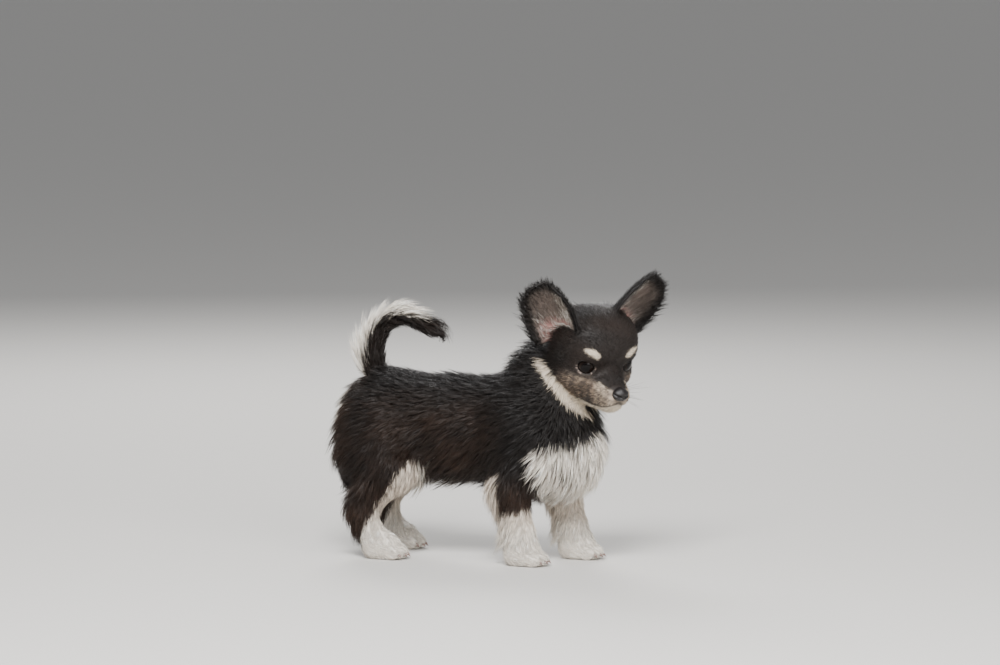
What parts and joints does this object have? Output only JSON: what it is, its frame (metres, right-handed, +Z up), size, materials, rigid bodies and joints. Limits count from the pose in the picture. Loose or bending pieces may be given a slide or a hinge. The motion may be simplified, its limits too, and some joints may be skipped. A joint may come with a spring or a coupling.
{
  "type": "chihuahua puppy",
  "caption": "Long-coated chihuahua puppy standing on all fours, head turned to its right, ears up and tail curled over the back.",
  "frame": {"origin": "middle of the bounding box, on the floor under the soles", "axes": "+X towards the breast, +Y to the puppy's left, +Z up"},
  "size_m": [0.2524, 0.106, 0.2161],
  "materials": {
    "black_coat": "long soft coat, warm black",
    "white_coat": "soft coat, cream white",
    "ear_skin": "thin skin with short hair",
    "nose_skin": "moist pebbled skin",
    "eye": "wet, glossy"
  },
  "bodies": {
    "root": {"head": "black_coat", "neck": "black_coat", "torso": "black_coat", "tail_root": "black_coat", "tail_middle": "white_coat", "tail_tip": "black_coat", "leg_fore_right": "black_coat", "leg_fore_left": "black_coat", "leg_hind_right": "black_coat", "leg_hind_left": "black_coat", "paw_fore_right": "white_coat", "paw_fore_left": "white_coat", "paw_hind_right": "white_coat", "paw_hind_left": "white_coat", "ear_right": "ear_skin", "ear_left": "ear_skin", "nose": "nose_skin", "eye_right": "eye", "eye_left": "eye"}
  },
  "joints": []
}
